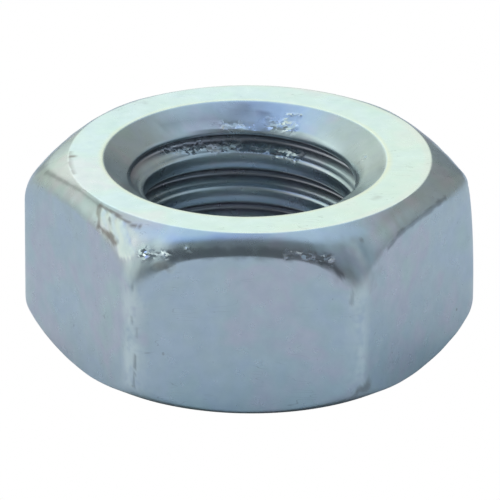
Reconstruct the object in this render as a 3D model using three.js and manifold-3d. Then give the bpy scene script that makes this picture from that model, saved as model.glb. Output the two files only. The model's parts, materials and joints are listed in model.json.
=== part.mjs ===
// A plain hex nut: forged and tapped steel with bright zinc plating, in millimetres with +Z up.
// The origin is the centre of the lower bearing face, and the thread axis is Z.
// Two corners of the hexagon lie on the X axis, and two flats face -Y and +Y.
import * as THREE from "three";
import { mergeVertices } from "three/addons/utils/BufferGeometryUtils.js";
import Module from "manifold-3d";

// Body. The bearing circle lies inside the flats by the inset, and the shoulders fall away from it.
// Outside the flats by the dome offset they steepen, which rounds the six corners over.
const acrossFlats = 13;
const nutHeight = 6.4;
const cornerRadius = 0.53;
const bearingInset = 0.53;
const shoulderAngle = 31;
const domeOffset = 0.45;
const domeAngle = 55;

// Thread. The tapping hole is wider than the basic minor diameter by the allowance.
// The groove starts above the upper face, on the +X side.
const threadDiameter = 8;
const threadPitch = 1.25;
const flankAngle = 30;
const tappingAllowance = 0.3;
const threadStart = 1.13;

// Countersinks at both ends. The punched upper one sits a little off the thread axis.
const countersinkMargin = 0.68;
const countersinkAngle = 33;
const countersinkShift = -0.16;

// How far cutting shapes run past what they cut, and how finely round surfaces are divided
const cutMargin = 0.4;
const grooveOverlap = 0.16;
const roundSegments = 96;
const threadSegments = 48;
const cornerSegments = 6;

const degrees = Math.PI / 180;
const sharpThreadHeight = threadPitch / 2 / Math.tan(flankAngle * degrees);
const rootRadius = threadDiameter / 2;
const rootHalfWidth = threadPitch / 16;
const boreRadius = rootRadius - sharpThreadHeight * 5 / 8 + tappingAllowance / 2;

const zincPlate = new THREE.MeshStandardMaterial({ color: 0xa3b2b8, roughness: 0.34, metalness: 1 });

const wasm = await Module();
wasm.setup();

function toSolid(geometry) {
  geometry.deleteAttribute("normal");
  geometry.deleteAttribute("uv");
  const merged = mergeVertices(geometry);
  const vertProperties = merged.attributes.position.array;
  const triVerts = new Uint32Array(merged.index.array);
  return new wasm.Manifold(new wasm.Mesh({ numProp: 3, vertProperties, triVerts }));
}

function toGeometry(solid) {
  const mesh = solid.getMesh();
  const geometry = new THREE.BufferGeometry();
  geometry.setAttribute("position", new THREE.BufferAttribute(mesh.vertProperties, 3));
  geometry.setIndex(new THREE.BufferAttribute(mesh.triVerts, 1));
  geometry.computeVertexNormals();
  return geometry;
}

// Points of [radius, height], listed from the bottom up, turned about the Z axis
function turned(profile, segments) {
  const points = profile.map(([radius, height]) => new THREE.Vector2(radius, height));
  return new THREE.LatheGeometry(points, segments).rotateX(Math.PI / 2);
}

// The hexagonal bar: flats joined by small arcs at the six corners
function hexBar() {
  const outline = new THREE.Shape();
  const arcReach = (acrossFlats / 2 - cornerRadius) / Math.cos(Math.PI / 6);
  for (let corner = 0; corner < 6; corner++) {
    const angle = corner * Math.PI / 3;
    const x = arcReach * Math.cos(angle);
    const y = arcReach * Math.sin(angle);
    outline.absarc(x, y, cornerRadius, angle - Math.PI / 6, angle + Math.PI / 6);
  }
  outline.closePath();
  return new THREE.ExtrudeGeometry(outline, {
    depth: nutHeight,
    curveSegments: cornerSegments,
    bevelEnabled: false,
  });
}

// The turned blank that trims both ends of the bar to conical shoulders and domed corners
function shoulderBlank() {
  const bearingRadius = acrossFlats / 2 - bearingInset;
  const domeRadius = acrossFlats / 2 + domeOffset;
  const outerRadius = acrossFlats / Math.sqrt(3) + cutMargin;
  const shoulderDrop = (domeRadius - bearingRadius) * Math.tan(shoulderAngle * degrees);
  const outerDrop = shoulderDrop + (outerRadius - domeRadius) * Math.tan(domeAngle * degrees);
  return turned([
    [0, 0],
    [bearingRadius, 0],
    [domeRadius, shoulderDrop],
    [outerRadius, outerDrop],
    [outerRadius, nutHeight - outerDrop],
    [domeRadius, nutHeight - shoulderDrop],
    [bearingRadius, nutHeight],
    [0, nutHeight],
  ], roundSegments);
}

// The tapping hole, right through
function bore() {
  return turned([
    [0, -cutMargin],
    [boreRadius, -cutMargin],
    [boreRadius, nutHeight + cutMargin],
    [0, nutHeight + cutMargin],
  ], threadSegments);
}

// A cone that opens upwards through the upper face
function countersink() {
  const rim = rootRadius + countersinkMargin;
  const slope = Math.tan(countersinkAngle * degrees);
  return turned([
    [0, nutHeight - rim * slope],
    [rim + cutMargin, nutHeight + cutMargin * slope],
    [0, nutHeight + cutMargin * slope],
  ], roundSegments);
}

// The groove's section, swept down and clockwise about the axis, which cuts a right-hand thread.
// The section is first extruded straight, one unit for a turn, and each point's depth becomes its angle.
function threadGroove() {
  const innerRadius = boreRadius - grooveOverlap;
  const innerHalfWidth = rootHalfWidth + (rootRadius - innerRadius) * Math.tan(flankAngle * degrees);
  const section = new THREE.Shape();
  section.moveTo(innerRadius, -innerHalfWidth);
  section.lineTo(rootRadius, -rootHalfWidth);
  section.lineTo(rootRadius, rootHalfWidth);
  section.lineTo(innerRadius, innerHalfWidth);
  section.closePath();

  const turns = Math.ceil((nutHeight + threadStart) / threadPitch) + 1;
  const groove = new THREE.ExtrudeGeometry(section, {
    depth: turns,
    steps: turns * threadSegments,
    bevelEnabled: false,
  });
  const points = groove.attributes.position;
  for (let i = 0; i < points.count; i++) {
    const radius = points.getX(i);
    const turn = points.getZ(i);
    const angle = -turn * 2 * Math.PI;
    const height = nutHeight + threadStart + points.getY(i) - turn * threadPitch;
    points.setXYZ(i, radius * Math.cos(angle), radius * Math.sin(angle), height);
  }
  return groove;
}

function hexNut() {
  const lowerCountersink = countersink().rotateX(Math.PI).translate(0, 0, nutHeight);
  const body = toSolid(hexBar())
    .intersect(toSolid(shoulderBlank()))
    .subtract(toSolid(bore()))
    .subtract(toSolid(countersink().translate(countersinkShift, 0, 0)))
    .subtract(toSolid(lowerCountersink))
    .subtract(toSolid(threadGroove()));
  const mesh = new THREE.Mesh(toGeometry(body), zincPlate);
  mesh.name = "hex_nut";
  return mesh;
}

const nut = new THREE.Group();
nut.add(hexNut());

export default nut;
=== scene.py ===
import json
import math
import bpy
import numpy as np
from mathutils import Matrix, Vector, noise

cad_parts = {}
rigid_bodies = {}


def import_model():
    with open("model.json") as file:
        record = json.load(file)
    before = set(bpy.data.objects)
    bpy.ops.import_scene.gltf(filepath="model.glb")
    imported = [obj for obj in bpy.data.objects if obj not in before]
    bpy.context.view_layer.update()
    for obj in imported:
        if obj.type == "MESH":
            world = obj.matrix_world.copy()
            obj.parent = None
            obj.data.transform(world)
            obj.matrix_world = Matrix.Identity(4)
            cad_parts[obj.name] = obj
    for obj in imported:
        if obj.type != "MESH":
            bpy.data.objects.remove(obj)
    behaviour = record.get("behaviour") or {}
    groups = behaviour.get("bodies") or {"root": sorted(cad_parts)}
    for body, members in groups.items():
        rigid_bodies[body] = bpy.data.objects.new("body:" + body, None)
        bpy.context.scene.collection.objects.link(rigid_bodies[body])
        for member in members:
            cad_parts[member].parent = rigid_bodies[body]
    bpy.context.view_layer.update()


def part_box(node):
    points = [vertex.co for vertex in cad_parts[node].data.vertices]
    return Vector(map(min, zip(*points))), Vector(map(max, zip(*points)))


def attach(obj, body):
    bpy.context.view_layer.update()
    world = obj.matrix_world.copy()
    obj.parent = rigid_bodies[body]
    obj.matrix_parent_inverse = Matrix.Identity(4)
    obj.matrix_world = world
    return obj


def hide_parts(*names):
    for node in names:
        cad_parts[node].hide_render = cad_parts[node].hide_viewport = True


# A plain hex nut in bright zinc plate: one forged and tapped body, lying on a white table.
# Lengths are metres, the thread axis is Z and the table is at the nut's lower face.
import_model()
nutLow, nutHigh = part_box("hex_nut")
mm = 0.001

cameraSetup = {
    "distance": 0.234,
    "azimuth": 0.93,        # degrees round from the front flat, towards +X
    "elevation": 25.43,
    "aimHeight": 3.05 * mm,
    "aimSide": 0.02 * mm,
    "lens": 506.65,
    "roll": 0.372,
}


def placeCamera(setup):
    turn = math.radians(setup["azimuth"])
    tilt = math.radians(setup["elevation"])
    away = Vector((math.sin(turn) * math.cos(tilt), -math.cos(turn) * math.cos(tilt), math.sin(tilt)))
    camera = bpy.data.objects.new("camera", bpy.data.cameras.new("camera"))
    bpy.context.scene.collection.objects.link(camera)
    spot = away * setup["distance"]
    aim = Vector((setup["aimSide"], 0, setup["aimHeight"]))
    facing = (aim - spot).to_track_quat("-Z", "Y").to_matrix().to_4x4()
    roll = Matrix.Rotation(math.radians(setup["roll"]), 4, "Z")
    camera.matrix_world = Matrix.Translation(spot) @ facing @ roll
    camera.data.lens = setup["lens"]
    camera.data.sensor_width = 36
    camera.data.clip_start = 0.01
    camera.data.clip_end = 20
    bpy.context.scene.camera = camera


placeCamera(cameraSetup)
print("camera placed")

# The body, taken from the frame's size where the frame gives it
nutBody = {
    "flatRadius": (nutHigh.y - nutLow.y) / 2,
    "height": nutHigh.z - nutLow.z,
    "cornerRadius": 0.53 * mm,
    "bearingInset": 0.528 * mm,
    "upperSlope": 25,
    "upperEnd": 74,                 # slope where the shoulder meets the middle of a flat
    "upperRound": 1.0 * mm,         # round between an upper shoulder and the middle of a flat
    # the same round at each corner, from +X anticlockwise: larger where the forging did not fill the die
    "upperDomes": [0.6 * mm, 3.3 * mm, 2.5 * mm, 1.62 * mm, 3.3 * mm, 3.3 * mm],
    "upperDraft": [0.27 * mm, 0, 0, 0, 0, 0],     # how far a corner leans in towards the top
    "lowerInset": 0.418 * mm,
    "lowerSlope": 32.4,
    "lowerEnd": 90,
    "lowerRound": 0.143 * mm,
    "lowerDomes": [1.25 * mm, 1.1 * mm, 1.1 * mm, 0.95 * mm, 1.2 * mm, 1.2 * mm],
    "domeSharpness": 6,
    "domeBlend": 0.7 * mm,
    "cornerRub": [0.6, 0.6, 0.5, 0.6, 1.3, 0.9],
    "bearingEdge": 0.2 * mm,        # round between a bearing face and its shoulder
    "sinkRadius": 4.68 * mm,
    "sinkAngle": 33,
    "sinkShift": -0.16 * mm,        # the punched upper countersink is off the thread axis
    "sinkLip": 0.24 * mm,
    "columns": 576,
    "sideRows": 34,                 # rows between the shoulders, crowded towards the upper one
    "sideCrowding": 1.35,
    "cornerCrowding": 0.35,
    "frontCrowding": 0.30,
}
threadForm = {
    "pitch": 1.25 * mm,
    "rootRadius": 4.0 * mm,
    "crestRadius": 3.48 * mm,
    "grooveHeight": 7.53 * mm,      # height of a groove's middle on the +X side
    "rootFlat": 1 / 8,
    "seamDepth": 0.05 * mm,         # the fold that forming leaves just above the crest
    "seamWidth": 0.05 * mm,
    "seamRise": 0.34 * mm,          # height of the fold above the crest's middle
    "snap": 0.04 * mm,              # rows nearer a lip than this join it
}


def hexRadius(angle, body):
    # distance from the axis to the hexagon's outline, with its corners rounded
    flat, rounding = body["flatRadius"], body["cornerRadius"]
    reach = (flat - rounding) / math.cos(math.pi / 6)
    fromCorner = np.abs((angle + math.pi / 6) % (math.pi / 3) - math.pi / 6)
    tangent = math.pi / 6 - math.atan2(reach / 2, flat)
    onFlat = flat / np.cos(math.pi / 6 - fromCorner)
    across = np.maximum(rounding**2 - (reach * np.sin(fromCorner))**2, 0)
    onArc = reach * np.cos(fromCorner) + np.sqrt(across)
    return np.where(fromCorner > tangent, onFlat, onArc)


def cornerShare(angles, body, values):
    # each corner's own value, and how strongly it applies at an angle: 1 at the corner, 0 at a flat's middle
    nearest = np.round(angles / (math.pi / 3)).astype(int) % 6
    fromCorner = np.abs((angles + math.pi / 6) % (math.pi / 3) - math.pi / 6)
    return np.array(values)[nearest], (1 - fromCorner / (math.pi / 6))**body["domeSharpness"]


def wander(angles, waves, seed):
    # smooth noise that closes on itself round the axis
    return np.array([noise.noise((waves * math.cos(a), waves * math.sin(a), seed)) for a in angles.tolist()])


def arcRows(corner, before, after, radius, count):
    # rows of points round a corner of the profile: before and after are unit directions in and out of it
    turn = np.arccos(np.clip((before * after).sum(-1), -1, 1))
    tangent = radius * np.tan(turn / 2)
    start = corner - before * tangent[:, None]
    across = after - before * (before * after).sum(-1)[:, None]
    across = across / np.linalg.norm(across, axis=-1, keepdims=True)
    rows = []
    for k in range(count):
        swing = turn * k / (count - 1)
        offset = before * np.sin(swing)[:, None] + across * (1 - np.cos(swing))[:, None]
        rows.append(start + offset * np.broadcast_to(radius, turn.shape)[:, None])
    return rows


def lineRows(start, end, count, crowding=1):
    # rows strictly between two rows, crowded towards the first
    return [start + (end - start) * (k / (count + 1))**crowding for k in range(1, count + 1)]


def outerProfile(angles, body):
    # rows of (radius, height) from the upper bearing circle, over the outside, to the lower one
    count = len(angles)
    height = body["height"]
    outline = hexRadius(angles, body)
    draft, share = cornerShare(angles, body, body["upperDraft"])
    upperOutline = outline - draft * share
    outward = np.tile([1.0, 0.0], (count, 1))
    rows = []
    ends = (
        (body["bearingInset"], body["upperSlope"], body["upperEnd"], body["upperRound"], body["upperDomes"],
         5, 15, 1),
        (body["lowerInset"], body["lowerSlope"], body["lowerEnd"], body["lowerRound"], body["lowerDomes"],
         4, 8, -1),
    )
    for inset, slope, end, even, domes, edgeCount, roundCount, sign in ends:
        steep = math.radians(slope)
        bearing = body["flatRadius"] - inset + 0.018 * mm * wander(angles, 1.4, 3.0 * sign)
        edgeOutline = upperOutline if sign > 0 else outline
        run = edgeOutline - bearing
        dome, share = cornerShare(angles, body, domes)
        # the round stops short of upright at the middle of a flat, which leaves a crisp edge there
        last = math.pi / 2 - math.radians(90 - end) * (1 - share)**3
        ragged = 1 + 0.10 * wander(angles, 7, 5.0 * sign) + 0.05 * wander(angles, 22, 8.0 * sign)
        size = even * (1 + (ragged - 1) * (1 - share)**3) + (dome - even) * share
        # the round never grows past the shoulder it has to fit on
        largest = 0.97 * run / (np.sin(last) - math.sin(steep))
        size = softMin(size, largest, body["domeBlend"] * (0.05 + 0.95 * share))
        fall = np.tile([math.cos(steep), -math.sin(steep)], (count, 1))
        finish = np.stack([np.cos(last), -np.sin(last)], -1)
        corner = edgeOutline - size * np.tan((last - steep) / 2) * np.cos(last)
        meeting = np.stack([corner, -(corner - bearing) * math.tan(steep)], -1)
        turned = arcRows(meeting, fall, finish, size, roundCount)
        # the bearing edge's own round shrinks where the big round reaches back to it
        room = (turned[0][:, 0] - bearing) / math.cos(steep) / math.tan(steep / 2)
        edgeSize = np.clip(0.9 * room, 0.005 * mm, body["bearingEdge"])
        edge = arcRows(np.stack([bearing, np.zeros(count)], -1), outward, fall, edgeSize, edgeCount)
        part = edge + lineRows(edge[-1], turned[0], 2) + turned
        if sign > 0:
            rows += [row + [0, height] for row in part]
        else:
            lower = [row * [1, -1] for row in reversed(part)]
            # a drafted corner's lean dies away down the side
            sides = lineRows(rows[-1], lower[0], body["sideRows"], body["sideCrowding"])
            lean = outline - rows[-1][:, 0]
            shares = [k / (body["sideRows"] + 1) for k in range(1, body["sideRows"] + 1)]
            rows += [np.stack([outline - lean * (1 - share)**2, row[:, 1]], -1)
                     for share, row in zip(shares, sides)]
            rows += lower
    return rows


def threadRadius(angles, heights, form):
    # the tapped wall's radius: roots, 60 degree flanks, and crests with a fold along them
    pitch = form["pitch"]
    phase = ((heights - form["grooveHeight"]) / pitch - angles / (2 * math.pi)) % 1
    fromRoot = np.minimum(phase, 1 - phase) * pitch
    flank = form["rootRadius"] - (fromRoot - form["rootFlat"] * pitch / 2) / math.tan(math.radians(30))
    wall = softMin(softMax(flank, form["crestRadius"], 0.03 * mm), form["rootRadius"], 0.04 * mm)
    aboveCrest = (phase - 0.5) * pitch
    return wall + form["seamDepth"] * np.exp(-((aboveCrest - form["seamRise"]) / form["seamWidth"])**2)


def softMax(a, b, width):
    return (a + b + np.sqrt((a - b)**2 + width**2)) / 2


def softMin(a, b, width):
    return (a + b - np.sqrt((a - b)**2 + width**2)) / 2


def sinkRadiusAt(angles, heights, body, upper):
    # the countersink's radius about the thread axis, at a height
    slope = math.tan(math.radians(body["sinkAngle"]))
    if upper:
        shift = body["sinkShift"] * np.cos(angles)
        return body["sinkRadius"] + shift - (body["height"] - heights) / slope
    return body["sinkRadius"] - heights / slope


def rimRows(angles, body, upper):
    # the lip between a bearing face and its countersink, from the face inwards and down
    count = len(angles)
    tilt = math.radians(body["sinkAngle"])
    up = 1 if upper else -1
    shift = body["sinkShift"] * np.cos(angles) if upper else np.zeros(count)
    corner = np.stack([body["sinkRadius"] + shift, np.full(count, body["height"] if upper else 0.0)], -1)
    inward = np.tile([-1.0, 0.0], (count, 1))
    into = np.tile([-math.cos(tilt), -up * math.sin(tilt)], (count, 1))
    return arcRows(corner, inward, into, body["sinkLip"], 5)


def threadPhases(form):
    # where the wall's rows lie within one pitch, crowded round the fold and the groove's edges
    rootHalf = form["rootFlat"] / 2
    flankHeight = (form["rootRadius"] - form["crestRadius"]) * math.tan(math.pi / 6)
    crestHalf = 0.5 - rootHalf - flankHeight / form["pitch"]
    fold, rise = form["seamWidth"] / form["pitch"], form["seamRise"] / form["pitch"]
    return np.array([
        0, rootHalf * 0.9, rootHalf * 1.5, (0.5 - crestHalf + rootHalf) / 2,
        0.5 - crestHalf * 1.2, 0.5 - crestHalf * 0.85, 0.5, 0.5 + crestHalf * 0.8,
        0.5 + rise - fold * 1.5, 0.5 + rise - fold * 0.7, 0.5 + rise,
        0.5 + rise + fold * 0.7, 0.5 + rise + fold * 1.5,
        1 - rootHalf * 1.5, 1 - rootHalf * 0.9,
    ])


def columnAngles(body):
    # columns stand closer together at the corners and round the front
    fine = np.linspace(0, 2 * math.pi, 20001)
    reach = fine + body["cornerCrowding"] * np.sin(6 * fine) / 6
    reach = reach + body["frontCrowding"] * (np.sin(fine + math.pi / 2) - 1)
    share = np.arange(body["columns"]) / body["columns"] * 2 * math.pi
    return np.interp(share, reach, fine)


def buildNut(body, form):
    columns = body["columns"]
    angles = columnAngles(body)
    upperRim = rimRows(angles, body, True)
    lowerRim = rimRows(angles, body, False)
    outer = outerProfile(angles, body)
    rows = upperRim[::-1] + lineRows(upperRim[0], outer[0], 6) + outer
    rows += lineRows(outer[-1], lowerRim[0], 3) + lowerRim
    grid = np.array(rows)                                     # row, column, (radius, height)
    count = len(rows)
    index = np.arange(count * columns).reshape(count, columns)
    nextColumn = np.roll(np.arange(columns), -1)
    above, below = index[:-1], index[1:]
    quads = [np.stack([above, below, below[:, nextColumn], above[:, nextColumn]], -1).reshape(-1, 4)]

    # the tapped wall: rows that climb with the thread, held between the two lips
    top, bottom = grid[0, :, 1], grid[-1, :, 1]
    phases = threadPhases(form)
    perTurn = len(phases)
    turns = math.ceil(body["height"] / form["pitch"]) + 2
    lift = (np.arange(turns)[:, None] + phases[None]).reshape(-1)
    base = form["grooveHeight"] - math.ceil(form["grooveHeight"] / form["pitch"] + 1) * form["pitch"]
    heights = base + form["pitch"] * (lift[:, None] + angles[None] / (2 * math.pi))
    around = np.broadcast_to(angles, heights.shape)
    wall = threadRadius(around, heights, form)
    upperSink = sinkRadiusAt(around, heights, body, True)
    lowerSink = sinkRadiusAt(around, heights, body, False)
    sink = softMax(upperSink, lowerSink, 0.01 * mm)
    radii = softMax(wall, sink, 0.05 * mm)
    wallIndex = count * columns + np.arange(heights.size).reshape(heights.shape)
    atTop = heights >= top[None] - form["snap"]
    atBottom = heights <= bottom[None] + form["snap"]
    wallIndex = np.where(atTop, index[0][None], np.where(atBottom, index[-1][None], wallIndex))
    points = np.concatenate([grid.reshape(-1, 2), np.stack([radii, heights], -1).reshape(-1, 2)])
    here, beside = wallIndex[:, :-1], wallIndex[:, 1:]
    quads.append(np.stack([here[:-1], here[1:], beside[1:], beside[:-1]], -1).reshape(-1, 4))
    last, first = wallIndex[:, -1], wallIndex[:, 0]           # the seam joins each row to the one a turn up
    seam = [last[:-perTurn - 1], last[1:-perTurn], first[perTurn + 1:], first[perTurn:-1]]
    quads.append(np.stack(seam, -1))
    place = np.concatenate([np.tile(angles, count), around.reshape(-1)])
    xyz = np.stack([points[:, 0] * np.cos(place), points[:, 0] * np.sin(place), points[:, 1]], -1)
    return meshFromGrid("nut_body", xyz, np.concatenate(quads))


def meshFromGrid(name, xyz, quads):
    faces = []
    for quad in quads.tolist():
        corners = list(dict.fromkeys(quad))
        if len(corners) > 2:
            faces.append(corners)
    used = np.unique(np.concatenate([np.array(f) for f in faces]))
    renumber = np.full(len(xyz), -1)
    renumber[used] = np.arange(len(used))
    mesh = bpy.data.meshes.new(name)
    mesh.from_pydata(xyz[used].tolist(), [], [renumber[f].tolist() for f in faces])
    mesh.validate()
    mesh.polygons.foreach_set("use_smooth", [True] * len(mesh.polygons))
    nut = bpy.data.objects.new(name, mesh)
    bpy.context.scene.collection.objects.link(nut)
    return nut


def onOutside(azimuth, height):
    # the place on the outside at a height, in millimetres
    angle = math.radians(azimuth)
    profile = np.array(outerProfile(np.array([angle]), nutBody))[::-1, 0] / mm
    radius = np.interp(height, profile[:, 1], profile[:, 0])
    return (radius * math.cos(angle), radius * math.sin(angle), height)


def onCountersink(azimuth, height):
    angle = math.radians(azimuth)
    radius = sinkRadiusAt(angle, height * mm, nutBody, True) / mm
    return (radius * math.cos(angle), radius * math.sin(angle), height)


def alongFirstCrest(fromAzimuth, toAzimuth, fromRise, toRise):
    # places on the first turn under the upper countersink, a rise above its crest's middle
    places = []
    for share in np.linspace(0, 1, 8):
        angle = math.radians(fromAzimuth + (toAzimuth - fromAzimuth) * share)
        rise = toRise + (fromRise - toRise) * (1 - share)**2
        crestHeight = threadForm["grooveHeight"] + threadForm["pitch"] * (angle / (2 * math.pi) - 2.5)
        height = crestHeight + rise * mm
        sink = sinkRadiusAt(angle, height, nutBody, True)
        radius = max(float(threadRadius(angle, height, threadForm)), float(sink)) / mm
        places.append((radius * math.cos(angle), radius * math.sin(angle), height / mm))
    return places


# Worn and knocked places, bright facets with a painted highlight, stains, and dark strokes that are partly
# painted shade, in millimetres on the nut: a path, its half width and its strength
scuffedPlaces = [
    {"path": [onOutside(-139, 6.23), onOutside(-135, 6.05)], "width": 0.16, "strength": 0.8},
    {"path": [onOutside(-135.5, 6.22), onOutside(-130.5, 6.02), onOutside(-125.5, 5.7)],
     "width": 0.17, "strength": 0.9},
    {"path": [onOutside(-130.5, 6.17), (-4.0, -5.45, 5.85), (-3.85, -5.8, 5.7)],
     "width": 0.20, "strength": 1.0},
    {"path": [(-4.05, -5.74, 5.66), (-3.78, -5.86, 5.72)], "width": 0.22, "strength": 1.3},
    {"path": [(-2.80, -6.47, 5.42), (-2.45, -6.50, 5.40)], "width": 0.22, "strength": 0.35},
]
knocks = [
    {"path": [(-4.62, -4.30, 6.22), (-4.48, -4.90, 5.95)], "width": 0.12, "depth": 0.035},
    {"path": [(-4.35, -4.70, 6.20), (-4.10, -5.45, 5.84)], "width": 0.10, "depth": 0.045},
    {"path": [(-3.95, -5.10, 6.14), (-3.72, -5.60, 5.92)], "width": 0.12, "depth": 0.030},
    {"path": [(-3.00, -6.30, 5.60), (-2.60, -6.42, 5.70)], "width": 0.14, "depth": 0.025},
    {"path": [(3.60, -5.75, 5.80), (3.80, -5.90, 5.55)], "width": 0.18, "depth": 0.030},
]
# bright facets: hammered and torn metal, with a painted highlight on some facets, at the front shoulder, the
# countersink and the first thread's crest
glints = [
    {"path": [(-3.30, -6.05, 5.66), (-3.00, -6.22, 5.70), (-2.60, -6.36, 5.78)],
     "width": 0.17, "strength": 1.0},
    {"path": [(-1.90, -6.31, 6.02), (-1.84, -6.36, 5.97)], "width": 0.10, "strength": 1.0},
    {"path": [onOutside(-78.5, 5.9), onOutside(-72, 5.8), onOutside(-67, 5.65)],
     "width": 0.14, "strength": 1.2},
    {"path": [(-0.95, 3.62, 5.74), (0.10, 3.76, 5.74)], "width": 0.08, "strength": 0.8},
    {"path": [(0.35, 3.88, 5.86), (0.75, 3.80, 5.80), (1.45, 3.60, 5.84)], "width": 0.15, "strength": 0.9},
    {"path": [(0.60, 4.02, 6.02), (1.25, 3.88, 6.00)], "width": 0.08, "strength": 0.6},
    {"path": alongFirstCrest(136, 64, 0.53, 0.34), "width": 0.20, "strength": 1.0},
    {"path": [(1.15, 4.08, 6.15), (1.60, 3.98, 6.15)], "width": 0.09, "strength": 0.8},
    {"path": [(3.80, 1.00, 5.98), (3.76, 1.25, 5.98)], "width": 0.07, "strength": 0.7},
]
stains = [
    {"path": [(-5.88, -0.15, 6.40), (-5.86, -0.05, 6.40)], "width": 0.11, "strength": 1.0},
    {"path": [(-5.93, 0.30, 6.40), (-5.90, -0.60, 6.40), (-5.70, -1.50, 6.40)],
     "width": 0.06, "strength": 0.45},
    {"path": [onOutside(-141.5, 6.33), onOutside(-134, 6.32), onOutside(-130.5, 6.28), onOutside(-124, 6.22),
              onOutside(-123, 6.27)], "width": 0.055, "strength": 0.85},
    {"path": [onOutside(-141.5, 6.33), onOutside(-139, 6.14), onOutside(-136.5, 5.9)], "width": 0.08,
     "strength": 0.65},
    {"path": [onOutside(-136.5, 5.9), onOutside(-131, 5.8), onOutside(-128, 5.72)],
     "width": 0.10, "strength": 0.9},
    {"path": [(-4.48, -4.50, 6.20), (-4.40, -4.95, 6.05)], "width": 0.06, "strength": 0.6},
    {"path": [(-2.95, -6.45, 5.44), (-2.60, -6.49, 5.38)], "width": 0.14, "strength": 0.45},
    # the broad stroke below darkens the front right corner's shoulder a little
    {"path": [(3.30, -6.20, 5.60), (3.75, -6.10, 5.35), (3.90, -6.05, 5.20)],
     "width": 0.62, "strength": 0.20},
    {"path": [onOutside(-56, 6.0), onOutside(-56, 5.96)], "width": 0.07, "strength": 0.5},
    {"path": [(4.12, -3.26, 6.40), (4.30, -3.05, 6.40)], "width": 0.10, "strength": 0.30},
    {"path": [(3.70, -6.38, 1.02), (4.25, -5.95, 1.12)], "width": 0.20, "strength": 0.55},
    {"path": [(-3.98, 4.05, 6.10), (-3.60, 4.60, 6.12)], "width": 0.25, "strength": 0.30},
]
# dark strokes: the band along the front shoulder and the lines along the shoulders' feet are painted shade;
# the streaks down the front flat and the patches in the upper countersink are dark marks and tarnish
dirtAndShade = [
    {"path": [(-2.5, -6.42, 5.8), (-1.0, -6.4, 5.88), (1.2, -6.4, 5.88), (2.6, -6.42, 5.76)], "width": 0.20,
     "strength": 0.52},
    {"path": [onOutside(-175, 6.03), onOutside(-165.5, 6.2), onOutside(-157, 6.31), onOutside(-141, 6.32)],
     "width": 0.07, "strength": 0.45},
    {"path": [onOutside(-15.5, 5.83), onOutside(-33, 5.79), onOutside(-42, 5.74), onOutside(-48, 5.53)],
     "width": 0.10, "strength": 0.65},
    {"path": [onOutside(-64.5, 5.15), (2.8, -6.46, 5.5), (2.3, -6.48, 5.68)],
     "width": 0.10, "strength": 0.75},
    {"path": [(-3.05, -6.46, 5.36), (-2.75, -6.47, 5.56), (-2.20, -6.46, 5.70)],
     "width": 0.10, "strength": 0.55},
    {"path": [(-3.65, -6.43, 4.75), (-3.66, -6.44, 4.55)], "width": 0.07, "strength": 0.50},
    {"path": [(-3.68, -6.44, 3.60), (-3.66, -6.46, 3.40)], "width": 0.05, "strength": 0.40},
    {"path": [(-3.50, -6.49, 3.20), (-3.52, -6.49, 2.95)], "width": 0.05, "strength": 0.30},
    {"path": [(-3.56, -6.49, 2.25), (-3.58, -6.49, 1.75)], "width": 0.045, "strength": 0.60},
    {"path": [(-3.58, -6.49, 1.60), (-3.63, -6.47, 1.15), (-3.52, -6.49, 0.80)],
     "width": 0.045, "strength": 0.50},
    {"path": [(3.45, -6.49, 4.60), (3.40, -6.50, 4.20)], "width": 0.07, "strength": 0.35},
    {"path": [(0.50, 4.15, 6.10), (-0.30, 4.20, 6.12)], "width": 0.16, "strength": 0.65},
    {"path": [onCountersink(132, 6.1), onCountersink(112, 6.05), onCountersink(101, 6.08),
              onCountersink(93, 6.15)],
     "width": 0.26, "strength": 0.34},
]


def readPoints(mesh):
    flat = np.empty(len(mesh.vertices) * 3)
    mesh.vertices.foreach_get("co", flat)
    return flat.reshape(-1, 3)


def fieldNoise(points, perMm, seed):
    # noise at every point, with perMm features to the millimetre
    scaled = points / mm * perMm + seed
    return np.array([noise.noise(p) for p in scaled.tolist()])


def distanceToPath(points, path):
    # distance in millimetres from each point to a polyline
    best = np.full(len(points), 1e9)
    spots = points / mm
    for start, end in zip(path[:-1], path[1:]):
        start, end = np.array(start), np.array(end)
        along = end - start
        share = np.clip(((spots - start) @ along) / (along @ along), 0, 1)
        best = np.minimum(best, np.linalg.norm(spots - start - share[:, None] * along, axis=1))
    return best


def brush(points, strokes, rough):
    # strength of the nearest stroke at each point, with edges broken up by noise
    total = np.zeros(len(points))
    for stroke in strokes:
        reach = distanceToPath(points, stroke["path"]) / stroke["width"]
        cover = np.clip(1.35 - reach - rough, 0, 1)
        total = np.maximum(total, stroke["strength"] * cover * cover * (3 - 2 * cover))
    return total


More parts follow.
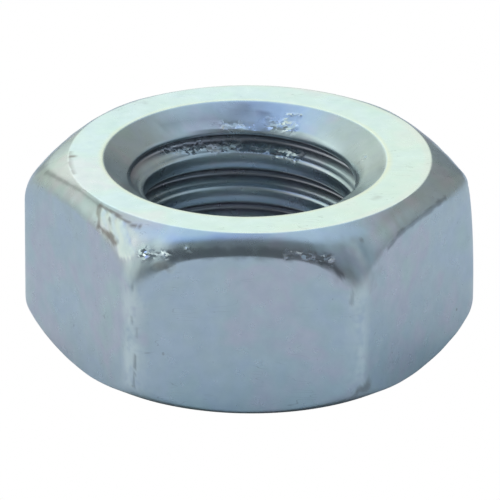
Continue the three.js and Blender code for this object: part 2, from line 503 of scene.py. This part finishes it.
def roughenBody(nut, body):
    # forging waves on the shoulders, the knocks at the corners, and the painted wear masks
    mesh = nut.data
    points = readPoints(mesh)
    normals = np.empty(len(points) * 3)
    mesh.vertices.foreach_get("normal", normals)
    normals = normals.reshape(-1, 3)
    radius = np.hypot(points[:, 0], points[:, 1])
    coarse = fieldNoise(points, 0.45, 11.0)
    middling = fieldNoise(points, 1.6, 23.0)
    fine = fieldNoise(points, 6.0, 37.0)
    outside = radius > body["sinkRadius"] + 0.3 * mm
    slanted = np.clip(1 - np.abs(np.abs(normals[:, 2]) - 0.55) / 0.4, 0, 1) * outside
    upright = (np.abs(normals[:, 2]) < 0.2) * outside
    depth = slanted * (0.010 * middling + 0.006 * coarse) + upright * 0.003 * coarse
    breaking = 0.9 * fieldNoise(points, 2.6, 53.0) + 0.5 * fine
    glint = brush(points, glints, breaking)
    scuff = brush(points, scuffedPlaces, 0.7 * breaking)
    depth += glint * 0.012 * fine + scuff * 0.010 * fine
    for knock in knocks:
        reach = distanceToPath(points, knock["path"]) / knock["width"]
        depth -= knock["depth"] * np.exp(-reach**2)
    moved = points + normals * depth[:, None] * mm
    moved = np.clip(moved, np.array(nutLow), np.array(nutHigh))
    mesh.vertices.foreach_set("co", moved.reshape(-1))
    # the plating is rubbed lighter along the six upright edges, patchily
    turn = np.arctan2(points[:, 1], points[:, 0])
    offCorner = np.abs((turn + math.pi / 6) % (math.pi / 3) - math.pi / 6) * radius / mm
    steepness = np.clip(1.8 - np.abs(normals[:, 2]) * 3, 0, 1)
    rub = np.clip(1.5 - offCorner / 0.36 - 0.5 * fine, 0, 1) * steepness * outside
    rub *= np.clip(0.75 + 1.1 * middling + 0.8 * fine, 0, 1)
    rub *= np.array(body["cornerRub"])[np.round(turn / (math.pi / 3)).astype(int) % 6]
    masks = {
        "glint": glint,
        "scuff": scuff,
        "rub": rub,
        "stain": brush(points, stains, breaking),
        "dirtAndShade": brush(points, dirtAndShade, 0.6 * breaking),
    }
    for name, values in masks.items():
        layer = mesh.attributes.new(name, "FLOAT", "POINT")
        layer.data.foreach_set("value", values)
    mesh.update()


nut = buildNut(nutBody, threadForm)
roughenBody(nut, nutBody)
print("nut body:", len(nut.data.polygons), "faces")


def addNode(tree, kind, values=None, **settings):
    made = tree.nodes.new(kind)
    for key, value in settings.items():
        setattr(made, key, value)
    for key, value in (values or {}).items():
        if isinstance(value, bpy.types.NodeSocket):
            tree.links.new(value, made.inputs[key])
        else:
            made.inputs[key].default_value = value
    return made


def mixColours(tree, share, first, second, blend="MIX"):
    mixed = addNode(tree, "ShaderNodeMix", {0: share, 6: first, 7: second}, data_type="RGBA",
                    blend_type=blend)
    return mixed.outputs[2]


def mathNode(tree, operation, first, second=0.0, clamp=False):
    made = addNode(tree, "ShaderNodeMath", {0: first, 1: second}, operation=operation, use_clamp=clamp)
    return made.outputs[0]


def smoothStep(tree, value, low, high):
    step = addNode(tree, "ShaderNodeMapRange", {"Value": value, "From Min": low, "From Max": high},
                   interpolation_type="SMOOTHSTEP")
    return step.outputs["Result"]


def ramp(tree, share, stops):
    made = addNode(tree, "ShaderNodeValToRGB", {"Fac": share})
    bands = made.color_ramp.elements
    while len(bands) < len(stops):
        bands.new(0.5)
    for band, (position, colour) in zip(bands, stops):
        band.position = position
        band.color = (*colour, 1)
    return made.outputs["Color"]


def startGroup(name, inputs, outputs):
    group = bpy.data.node_groups.new(name, "ShaderNodeTree")
    for label, kind in inputs:
        group.interface.new_socket(label, in_out="INPUT", socket_type=kind)
    for label, kind in outputs:
        group.interface.new_socket(label, in_out="OUTPUT", socket_type=kind)
    return group, group.nodes.new("NodeGroupInput"), group.nodes.new("NodeGroupOutput")


def makeGroupNode(tree, group, values):
    return addNode(tree, "ShaderNodeGroup", values, node_tree=group)


def passivateGroup():
    # the thin blue passivate: clouds of blue, teal, violet and straw over the zinc
    group, into, out = startGroup("passivate", [("Place", "NodeSocketVector")],
                                  [("Colour", "NodeSocketColor")])
    place = into.outputs["Place"]
    broad = addNode(group, "ShaderNodeTexNoise",
                    {"Vector": place, "Scale": 0.34, "Detail": 3.0, "Roughness": 0.55})
    clouds = ramp(group, broad.outputs["Fac"], [
        (0.30, (0.530, 0.640, 0.630)), (0.43, (0.560, 0.640, 0.690)), (0.52, (0.560, 0.645, 0.655)),
        (0.60, (0.610, 0.620, 0.665)), (0.72, (0.570, 0.665, 0.640))])
    patchy = addNode(group, "ShaderNodeTexNoise",
                     {"Vector": place, "Scale": 1.7, "Detail": 4.0, "Roughness": 0.6})
    tone = ramp(group, patchy.outputs["Fac"], [(0.25, (0.93, 0.94, 0.95)), (0.75, (1.06, 1.05, 1.04))])
    group.links.new(mixColours(group, 1.0, clouds, tone, "MULTIPLY"), out.inputs["Colour"])
    return group


def pitsGroup():
    # small dark pits, one to a cell and only in some cells
    group, into, out = startGroup("pits", [("Place", "NodeSocketVector"), ("Cells", "NodeSocketFloat"),
                                           ("Size", "NodeSocketFloat")], [("Mask", "NodeSocketFloat")])
    place = into.outputs["Place"]
    bent = addNode(group, "ShaderNodeTexNoise", {"Vector": place, "Scale": 7.0, "Detail": 2.0})
    shift = addNode(group, "ShaderNodeVectorMath", {0: bent.outputs["Color"], "Scale": 0.10},
                    operation="SCALE")
    shifted = addNode(group, "ShaderNodeVectorMath", {0: place, 1: shift.outputs[0]}, operation="ADD")
    cells = addNode(group, "ShaderNodeTexVoronoi",
                    {"Vector": shifted.outputs[0], "Scale": into.outputs["Cells"]})
    chosen = addNode(group, "ShaderNodeSeparateColor", {0: cells.outputs["Color"]})
    near = mathNode(group, "DIVIDE", cells.outputs["Distance"], into.outputs["Size"])
    dot = smoothStep(group, near, 1.0, 0.45)
    some = smoothStep(group, chosen.outputs[0], 0.62, 0.95)
    group.links.new(mathNode(group, "MULTIPLY", dot, some), out.inputs["Mask"])
    return group


def scratchesGroup():
    # sparse hairline scratches: thin level lines of a stretched noise
    group, into, out = startGroup("scratches", [("Place", "NodeSocketVector"), ("Turn", "NodeSocketVector"),
                                                ("Width", "NodeSocketFloat")], [("Mask", "NodeSocketFloat")])
    turned = addNode(group, "ShaderNodeMapping", {
        "Vector": into.outputs["Place"], "Rotation": into.outputs["Turn"], "Scale": (0.35, 2.6, 2.6)})
    grain = addNode(group, "ShaderNodeTexNoise", {"Vector": turned.outputs[0], "Scale": 1.3, "Detail": 1.0})
    offLine = mathNode(group, "ABSOLUTE", mathNode(group, "SUBTRACT", grain.outputs["Fac"], 0.5))
    line = smoothStep(group, mathNode(group, "DIVIDE", offLine, into.outputs["Width"]), 1.0, 0.2)
    patch = addNode(group, "ShaderNodeTexNoise",
                    {"Vector": into.outputs["Place"], "Scale": 0.9, "Detail": 2.0})
    here = smoothStep(group, patch.outputs["Fac"], 0.54, 0.64)
    group.links.new(mathNode(group, "MULTIPLY", line, here), out.inputs["Mask"])
    return group


def grainGroup():
    # the plated surface's fine unevenness, as a height in millimetres
    group, into, out = startGroup("plated grain", [("Place", "NodeSocketVector")],
                                  [("Height", "NodeSocketFloat")])
    place = into.outputs["Place"]
    soft = addNode(group, "ShaderNodeTexNoise", {"Vector": place, "Scale": 1.1, "Detail": 2.0})
    tight = addNode(group, "ShaderNodeTexNoise",
                    {"Vector": place, "Scale": 9.0, "Detail": 3.0, "Roughness": 0.6})
    both = mathNode(group, "ADD", mathNode(group, "MULTIPLY", soft.outputs["Fac"], 0.012),
                    mathNode(group, "MULTIPLY", tight.outputs["Fac"], 0.0022))
    group.links.new(both, out.inputs["Height"])
    return group


def glintGroup():
    # a hammered patch: small facets, each tilted its own way, with a painted highlight that lightens the
    # colour of some
    group, into, out = startGroup("broken glints",
                                  [("Place", "NodeSocketVector"), ("Region", "NodeSocketFloat")],
                                  [("Bright", "NodeSocketFloat"), ("Tilt", "NodeSocketVector")])
    place = into.outputs["Place"]
    drawn = addNode(group, "ShaderNodeMapping", {"Vector": place, "Scale": (0.55, 1.0, 1.4)}).outputs[0]
    bent = addNode(group, "ShaderNodeTexNoise", {"Vector": place, "Scale": 5.0, "Detail": 2.0})
    shift = addNode(group, "ShaderNodeVectorMath", {0: bent.outputs["Color"], "Scale": 0.30},
                    operation="SCALE")
    shifted = addNode(group, "ShaderNodeVectorMath", {0: drawn, 1: shift.outputs[0]}, operation="ADD")
    facets = addNode(group, "ShaderNodeTexVoronoi", {"Vector": shifted.outputs[0], "Scale": 10.0})
    centred = addNode(group, "ShaderNodeVectorMath", {0: facets.outputs["Color"], 1: (0.5, 0.5, 0.5)},
                      operation="SUBTRACT")
    region = mathNode(group, "MINIMUM", into.outputs["Region"], 1.0)
    leaning = mathNode(group, "MULTIPLY", region, 0.75)
    tilt = addNode(group, "ShaderNodeVectorMath", {0: centred.outputs[0], "Scale": leaning},
                   operation="SCALE")
    chance = addNode(group, "ShaderNodeSeparateColor", {0: facets.outputs["Color"]}).outputs[1]
    bright = mathNode(group, "MULTIPLY", smoothStep(group, chance, 0.60, 0.85), region)
    group.links.new(bright, out.inputs["Bright"])
    group.links.new(tilt.outputs[0], out.inputs["Tilt"])
    return group


def bearingTintGroup():
    # straw and pink tints that gather along the bearing face's two rims, and a warmer green cast to the front
    # right that is partly the passivate's own colour and partly a painted warm reflection, all on level faces
    # only
    group, into, out = startGroup("rim tints",
                                  [("Place", "NodeSocketVector"), ("Colour", "NodeSocketColor"),
                                   ("Facing", "NodeSocketFloat")], [("Colour", "NodeSocketColor")])
    place = into.outputs["Place"]
    split = addNode(group, "ShaderNodeSeparateXYZ", {0: place})
    flatPlace = addNode(group, "ShaderNodeCombineXYZ", {"X": mathNode(group, "ADD", split.outputs["X"], 0.16),
                                                        "Y": split.outputs["Y"]})
    fromSink = addNode(group, "ShaderNodeVectorMath", {0: flatPlace.outputs[0]}, operation="LENGTH")
    fromSink = fromSink.outputs["Value"]
    wobble = addNode(group, "ShaderNodeTexNoise", {"Vector": place, "Scale": 0.7, "Detail": 3.0})
    bent = mathNode(group, "ADD", fromSink, mathNode(group, "MULTIPLY", wobble.outputs["Fac"], 0.25))
    inner = smoothStep(group, bent, 5.02, 4.78)
    outer = smoothStep(group, bent, 5.92, 6.12)
    warm = mathNode(group, "SUBTRACT", mathNode(group, "MULTIPLY", split.outputs["X"], 0.075),
                    mathNode(group, "MULTIPLY", split.outputs["Y"], 0.05))
    warm = mathNode(group, "ADD", warm, mathNode(group, "MULTIPLY", wobble.outputs["Fac"], 0.5))
    warm = smoothStep(group, warm, 0.0, 0.8)
    facing = into.outputs["Facing"]
    tinted = mixColours(group, mathNode(group, "MULTIPLY", warm, mathNode(group, "MULTIPLY", facing, 0.55)),
                        into.outputs["Colour"], (0.600, 0.665, 0.590, 1))
    tinted = mixColours(group, mathNode(group, "MULTIPLY", inner, mathNode(group, "MULTIPLY", facing, 0.75)),
                        tinted, (0.640, 0.640, 0.520, 1))
    tinted = mixColours(group, mathNode(group, "MULTIPLY", outer, mathNode(group, "MULTIPLY", facing, 0.45)),
                        tinted, (0.640, 0.620, 0.600, 1))
    group.links.new(tinted, out.inputs["Colour"])
    return group


plateTones = {
    "stain": (0.20, 0.16, 0.14, 1),
    # dark tone for the scratch lines, specks and dirt, and for the painted shade along the shoulders
    "dirtAndShade": (0.12, 0.13, 0.14, 1),
    "scuff": (0.90, 0.95, 0.87, 1),
    # painted highlight colour for the bright facets
    "glint": (0.90, 0.95, 0.98, 1),
    "rub": (0.80, 0.86, 0.81, 1),
    # painted shade for the thread grooves, brownish
    "groove": (0.36, 0.33, 0.36, 1),
    "roughness": 0.29,
}


def zincPlate(tones, body, form):
    plate = bpy.data.materials.new("zinc plate")
    plate.use_nodes = True
    tree = plate.node_tree
    bsdf = tree.nodes["Principled BSDF"]
    coords = addNode(tree, "ShaderNodeTexCoord")
    place = addNode(tree, "ShaderNodeVectorMath", {0: coords.outputs["Object"], "Scale": 1 / mm},
                    operation="SCALE").outputs[0]
    facing = addNode(tree, "ShaderNodeSeparateXYZ", {0: coords.outputs["Normal"]}).outputs["Z"]
    level = smoothStep(tree, facing, 0.93, 0.99)
    split = addNode(tree, "ShaderNodeSeparateXYZ", {0: place})
    fromAxis = addNode(tree, "ShaderNodeCombineXYZ", {"X": split.outputs["X"], "Y": split.outputs["Y"]})
    fromAxis = addNode(tree, "ShaderNodeVectorMath", {0: fromAxis.outputs[0]}, operation="LENGTH")
    fromAxis = fromAxis.outputs["Value"]
    # painted shade: the thread grooves deep in the bore are darkened and browned
    groove = smoothStep(tree, fromAxis, form["rootRadius"] / mm - 0.25, form["rootRadius"] / mm - 0.05)
    # the countersinks are kept out of it: how far the place lies below both cones
    sinkSlope = math.tan(math.radians(body["sinkAngle"]))
    insideRim = mathNode(tree, "SUBTRACT", body["sinkRadius"] / mm, fromAxis)
    coneDepth = mathNode(tree, "MULTIPLY", insideRim, sinkSlope)
    fromEnd = mathNode(tree, "MINIMUM", split.outputs["Z"],
                       mathNode(tree, "SUBTRACT", body["height"] / mm, split.outputs["Z"]))
    below = smoothStep(tree, mathNode(tree, "SUBTRACT", fromEnd, coneDepth), 0.10, 0.22)
    inBore = smoothStep(tree, fromAxis, form["rootRadius"] / mm + 0.12, form["rootRadius"] / mm + 0.04)
    groove = mathNode(tree, "MULTIPLY", groove, mathNode(tree, "MULTIPLY", below, inBore))

    colour = makeGroupNode(tree, passivateGroup(), {"Place": place}).outputs["Colour"]
    tinted = makeGroupNode(tree, bearingTintGroup(), {"Place": place, "Colour": colour, "Facing": level})
    colour = tinted.outputs["Colour"]
    pitTree, scratchTree = pitsGroup(), scratchesGroup()
    pits = makeGroupNode(tree, pitTree, {"Place": place, "Cells": 0.85, "Size": 0.055}).outputs["Mask"]
    specks = makeGroupNode(tree, pitTree, {"Place": place, "Cells": 2.1, "Size": 0.060}).outputs["Mask"]
    lines = makeGroupNode(tree, scratchTree, {"Place": place, "Turn": (0.5, 0.9, 0.3), "Width": 0.006})
    lines = lines.outputs["Mask"]
    crossLines = makeGroupNode(tree, scratchTree, {"Place": place, "Turn": (1.4, 0.2, 1.9), "Width": 0.005})
    crossLines = crossLines.outputs["Mask"]
    masks = {name: addNode(tree, "ShaderNodeAttribute", attribute_name=name).outputs["Fac"]
             for name in ("glint", "scuff", "rub", "stain", "dirtAndShade")}
    sparks = makeGroupNode(tree, glintGroup(), {"Place": place, "Region": masks["glint"]})
    colour = mixColours(tree, mathNode(tree, "MULTIPLY", groove, 0.75), colour, tones["groove"])
    colour = mixColours(tree, mathNode(tree, "MULTIPLY", lines, 0.30), colour, tones["dirtAndShade"])
    colour = mixColours(tree, mathNode(tree, "MULTIPLY", crossLines, 0.34), colour, tones["dirtAndShade"])
    colour = mixColours(tree, mathNode(tree, "MULTIPLY", specks, 0.30), colour, tones["dirtAndShade"])
    colour = mixColours(tree, mathNode(tree, "MULTIPLY", pits, 0.55), colour, tones["stain"])
    colour = mixColours(tree, mathNode(tree, "MULTIPLY", masks["rub"], 0.62, True), colour, tones["rub"])
    colour = mixColours(tree, mathNode(tree, "MULTIPLY", masks["scuff"], 0.85, True), colour, tones["scuff"])
    # painted highlight: some facets of the glint patches are lightened
    colour = mixColours(tree, sparks.outputs["Bright"], colour, tones["glint"])
    # painted shade along the shoulders' feet and the front shoulder's band, with dirt and tarnish elsewhere
    colour = mixColours(tree, mathNode(tree, "MULTIPLY", masks["dirtAndShade"], 0.85), colour, tones["dirtAndShade"])
    colour = mixColours(tree, mathNode(tree, "MULTIPLY", masks["stain"], 0.85), colour, tones["stain"])
    tree.links.new(colour, bsdf.inputs["Base Color"])
    bsdf.inputs["Metallic"].default_value = 1

    mottle = addNode(tree, "ShaderNodeTexNoise", {"Vector": place, "Scale": 2.3, "Detail": 4.0})
    mottle = mottle.outputs["Fac"]
    rough = mathNode(tree, "ADD", mathNode(tree, "MULTIPLY", mottle, 0.12), tones["roughness"] - 0.06)
    rough = mathNode(tree, "ADD", rough, mathNode(tree, "MULTIPLY", masks["scuff"], 0.24))
    rough = mathNode(tree, "ADD", rough, mathNode(tree, "MULTIPLY", masks["stain"], 0.10))
    rough = mathNode(tree, "ADD", rough, mathNode(tree, "MULTIPLY", masks["rub"], 0.08))
    burnish = mathNode(tree, "MULTIPLY", sparks.outputs["Bright"], 0.16)
    rough = mathNode(tree, "SUBTRACT", rough, burnish, True)
    tree.links.new(rough, bsdf.inputs["Roughness"])

    grain = makeGroupNode(tree, grainGroup(), {"Place": place}).outputs["Height"]
    broken = addNode(tree, "ShaderNodeTexNoise", {"Vector": place, "Scale": 4.5, "Detail": 1.0})
    smear = mathNode(tree, "MULTIPLY", masks["scuff"], 0.02)
    smear = mathNode(tree, "MULTIPLY", broken.outputs["Fac"], smear)
    height = mathNode(tree, "ADD", grain, smear)
    stainDepth = mathNode(tree, "MULTIPLY", masks["stain"], 0.004)
    sunk = mathNode(tree, "ADD", mathNode(tree, "MULTIPLY", pits, 0.015), stainDepth)
    height = mathNode(tree, "SUBTRACT", height, sunk)
    bump = addNode(tree, "ShaderNodeBump", {"Height": height, "Distance": mm, "Strength": 1.0})
    # the smeared metal of a scuff stands up from the shoulder
    lean = addNode(tree, "ShaderNodeVectorMath", {0: (0, 0, 0.5), "Scale": masks["scuff"]}, operation="SCALE")
    leaning = addNode(tree, "ShaderNodeVectorMath", {0: bump.outputs["Normal"], 1: lean.outputs[0]},
                      operation="ADD")
    tilted = addNode(tree, "ShaderNodeVectorMath", {0: leaning.outputs[0], 1: sparks.outputs["Tilt"]},
                     operation="ADD")
    tilted = addNode(tree, "ShaderNodeVectorMath", {0: tilted.outputs[0]}, operation="NORMALIZE")
    tree.links.new(tilted.outputs[0], bsdf.inputs["Normal"])
    return plate


nut.data.materials.append(zincPlate(plateTones, nutBody, threadForm))
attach(nut, "root")
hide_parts("hex_nut")
print("zinc plate made")

# The studio: a white table, a pale backdrop behind it, soft light overhead and a dim room in front
lightTones = {
    "daylight": (0.92, 1.00, 0.86),
    "coolWhite": (0.88, 0.98, 1.00),
    "dimRoom": (0.78, 0.90, 1.00),
    "lilac": (0.73, 0.78, 1.00),
    "sky": (0.52, 0.75, 1.00),
    "blue": (0.44, 0.69, 1.00),
    "deepBlue": (0.02, 0.27, 1.00),
    "warmWhite": (1.00, 0.93, 0.75),
    "amber": (1.00, 0.70, 0.00),
    "orange": (1.00, 0.17, 0.00),
}


def shade(tone, strength):
    return tuple(part * strength for part in lightTones[tone])


studioLight = {
    "room": shade("dimRoom", 0.21),
    "tableTone": (0.80, 0.80, 0.80),
    "tableShown": 1.0,
    # soft patches: azimuth, elevation, inner and outer half angles, and colour
    "patches": [
        (96, 25, 8, 26, shade("daylight", 1.14)),         # backdrop
        (125, 14, 5, 30, shade("amber", 0.06)),           # low, to the left of it
        (90, 52, 6, 24, shade("sky", 0.79)),              # top of the backdrop
        (100, 80, 6, 30, shade("lilac", 0.33)),           # overhead
        (165, 72, 4, 22, shade("deepBlue", 0.52)),        # overhead, left
        (25, 68, 4, 22, shade("blue", 0.45)),             # overhead, right
        (150, 35, 10, 50, shade("daylight", 0.62)),       # left wall
        (30, 35, 10, 50, shade("warmWhite", 0.21)),       # right wall
        (195, 30, 10, 45, shade("coolWhite", 0.52)),      # left side
        (-15, 30, 10, 45, shade("sky", 0.30)),            # right side
    ],
    "lamps": [
        {"name": "top lamp", "place": (-0.1, -0.1, 0.5), "size": 0.6, "power": 1.0,
         "colour": shade("blue", 0.95)},
        {"name": "warm lamp", "place": (-0.2, 0.3, 0.35), "size": 0.35, "power": 0.24,
         "colour": shade("orange", 1.0)},
    ],
}


def directionOf(azimuth, elevation):
    a, e = math.radians(azimuth), math.radians(elevation)
    return (math.cos(a) * math.cos(e), math.sin(a) * math.cos(e), math.sin(e))


def buildWorld(light):
    world = bpy.data.worlds.new("studio")
    bpy.context.scene.world = world
    world.use_nodes = True
    tree = world.node_tree
    place = addNode(tree, "ShaderNodeTexCoord").outputs["Generated"]
    total = addNode(tree, "ShaderNodeRGB").outputs[0]
    total.default_value = (*light["room"], 1)
    for azimuth, elevation, inner, outer, colour in light["patches"]:
        towards = addNode(tree, "ShaderNodeVectorMath", {0: place, 1: directionOf(azimuth, elevation)},
                          operation="DOT_PRODUCT")
        soften = smoothStep(tree, towards.outputs["Value"], math.cos(math.radians(outer)),
                            math.cos(math.radians(inner)))
        tint = addNode(tree, "ShaderNodeVectorMath", {0: colour, "Scale": soften}, operation="SCALE")
        total = addNode(tree, "ShaderNodeVectorMath", {0: total, 1: tint.outputs[0]}).outputs[0]
    path = addNode(tree, "ShaderNodeLightPath")
    shown = mixColours(tree, path.outputs["Is Camera Ray"], total, (1, 1, 1, 1))
    tree.links.new(shown, tree.nodes["Background"].inputs["Color"])


def buildTable(light):
    bpy.ops.mesh.primitive_plane_add(size=6, location=(0, 0, -0.00001))
    table = bpy.context.object
    table.name = "table"
    finish = bpy.data.materials.new("white table")
    finish.use_nodes = True
    table.data.materials.append(finish)
    nodes, links = finish.node_tree.nodes, finish.node_tree.links
    paint = nodes["Principled BSDF"]
    paint.inputs["Base Color"].default_value = (*light["tableTone"], 1)
    paint.inputs["Roughness"].default_value = 0.9
    glow = nodes.new("ShaderNodeEmission")
    glow.inputs["Strength"].default_value = light["tableShown"]
    path = nodes.new("ShaderNodeLightPath")
    mix = nodes.new("ShaderNodeMixShader")
    links.new(path.outputs["Is Camera Ray"], mix.inputs[0])
    links.new(paint.outputs[0], mix.inputs[1])
    links.new(glow.outputs[0], mix.inputs[2])
    links.new(mix.outputs[0], nodes["Material Output"].inputs["Surface"])


def hangLamp(lamp):
    light = bpy.data.lights.new(lamp["name"], "AREA")
    light.energy, light.size, light.color = lamp["power"], lamp["size"], lamp["colour"]
    fitting = bpy.data.objects.new(lamp["name"], light)
    spot = Vector(lamp["place"])
    fitting.matrix_world = Matrix.Translation(spot) @ (-spot).to_track_quat("-Z", "Y").to_matrix().to_4x4()
    fitting.visible_glossy = False
    bpy.context.scene.collection.objects.link(fitting)


buildTable(studioLight)
buildWorld(studioLight)
for lamp in studioLight["lamps"]:
    hangLamp(lamp)
print("studio built")
scene = bpy.context.scene
scene.view_settings.view_transform = "Standard"
